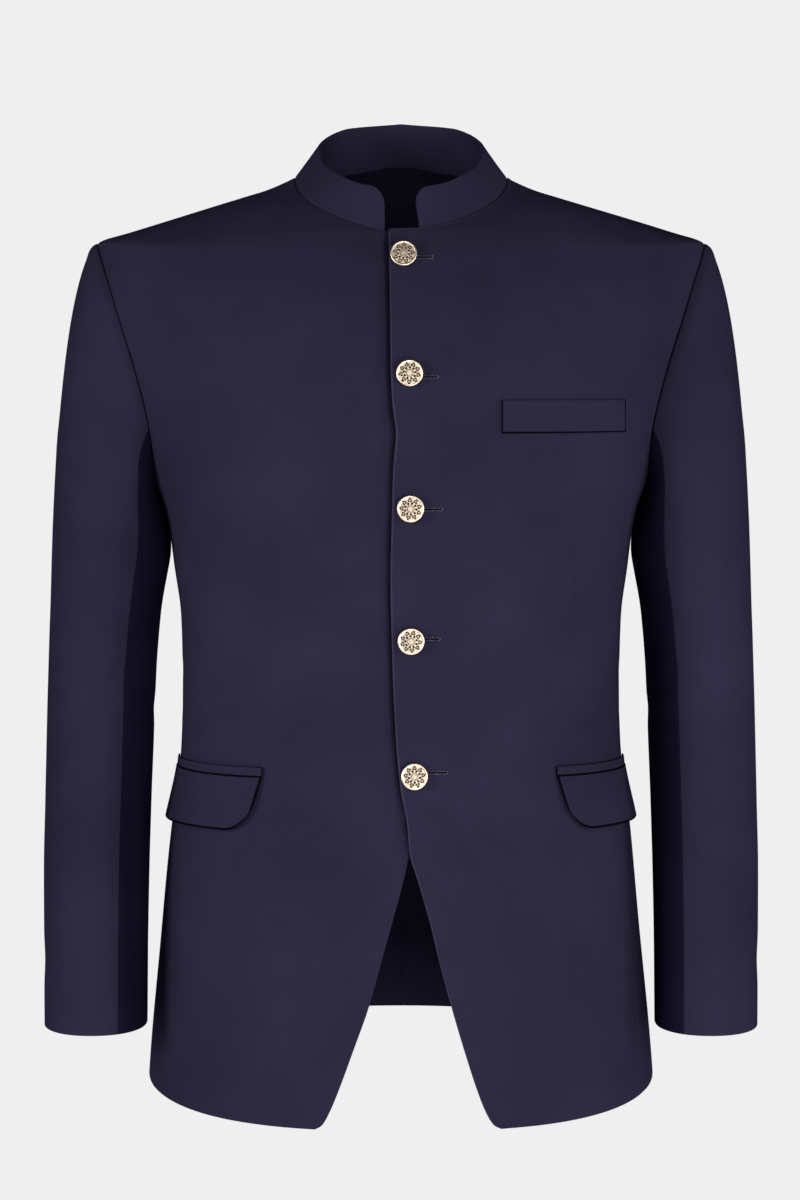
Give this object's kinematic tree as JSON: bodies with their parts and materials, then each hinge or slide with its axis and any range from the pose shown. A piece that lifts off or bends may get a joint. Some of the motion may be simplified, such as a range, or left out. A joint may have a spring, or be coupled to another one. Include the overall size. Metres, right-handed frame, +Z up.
{
  "type": "bandhgala jacket",
  "caption": "Hollow worn bandhgala jacket with a band collar, buttoned front, chest welt, flap pockets and a cutaway hem.",
  "frame": {"origin": "centre of the neck opening, level with the points where the shoulder seams meet the collar, where the wearer holds the jacket up", "axes": "+Z up as worn, front towards -Y, +X towards the wearer's left"},
  "size_m": [0.577, 0.276, 0.7855],
  "materials": {
    "navy_suiting": "dark navy suiting, smooth, with a soft satin sheen",
    "button_gold": "pale gold, pierced and engraved"
  },
  "bodies": {
    "root": {"front_left": "navy_suiting", "side_body_left": "navy_suiting", "back_left": "navy_suiting", "top_sleeve_left": "navy_suiting", "under_sleeve_left": "navy_suiting", "pocket_jet_left": "navy_suiting", "pocket_flap_left": "navy_suiting", "front_right": "navy_suiting", "side_body_right": "navy_suiting", "back_right": "navy_suiting", "top_sleeve_right": "navy_suiting", "under_sleeve_right": "navy_suiting", "pocket_jet_right": "navy_suiting", "pocket_flap_right": "navy_suiting", "collar": "navy_suiting", "chest_welt": "navy_suiting", "button_1": "button_gold", "button_2": "button_gold", "button_3": "button_gold", "button_4": "button_gold", "button_5": "button_gold"}
  },
  "joints": []
}
